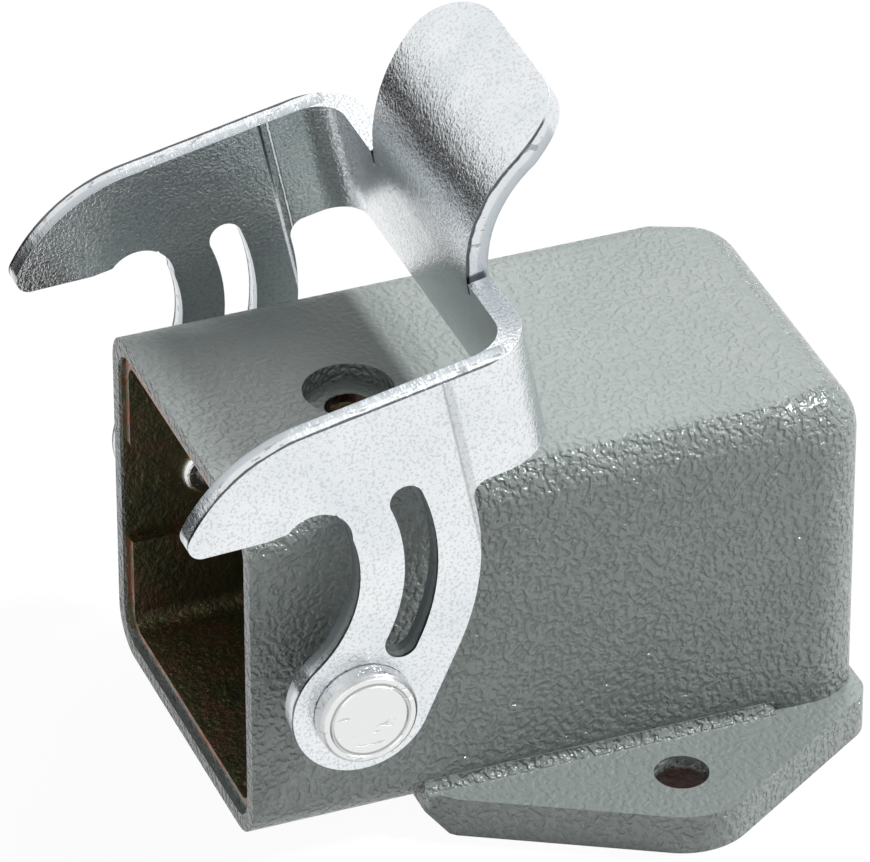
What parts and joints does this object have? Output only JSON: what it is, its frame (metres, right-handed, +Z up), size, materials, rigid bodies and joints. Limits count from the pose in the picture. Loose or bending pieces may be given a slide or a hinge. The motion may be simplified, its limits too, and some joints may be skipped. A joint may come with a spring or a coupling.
{
  "type": "heavy duty rectangular connector housing",
  "caption": "Small die-cast bulkhead housing for a heavy duty rectangular connector, angled, with a metal locking lever on rivets.",
  "frame": {"origin": "midway between the two mounting holes, on the mounting face", "axes": "+Z up out of the panel, the opening for the contact insert faces -Y, +X across the two lever arms"},
  "size_m": [0.046, 0.0527, 0.0514],
  "materials": {
    "casting": "textured powder coat",
    "plated_steel": "bright zinc plated",
    "seal_rubber": "matt"
  },
  "bodies": {
    "body": {"housing": "casting", "right_rivet": "plated_steel", "left_rivet": "plated_steel", "flange_gasket": "seal_rubber"},
    "lever": {"locking_lever": "plated_steel"}
  },
  "joints": [
    {"name": "lever_pivot", "type": "hinge", "parent": "body", "child": "lever", "pos_m": [0, -0.0231, 0.01445], "axis": [1, 0, 0], "range_deg": [-15, 85]}
  ]
}
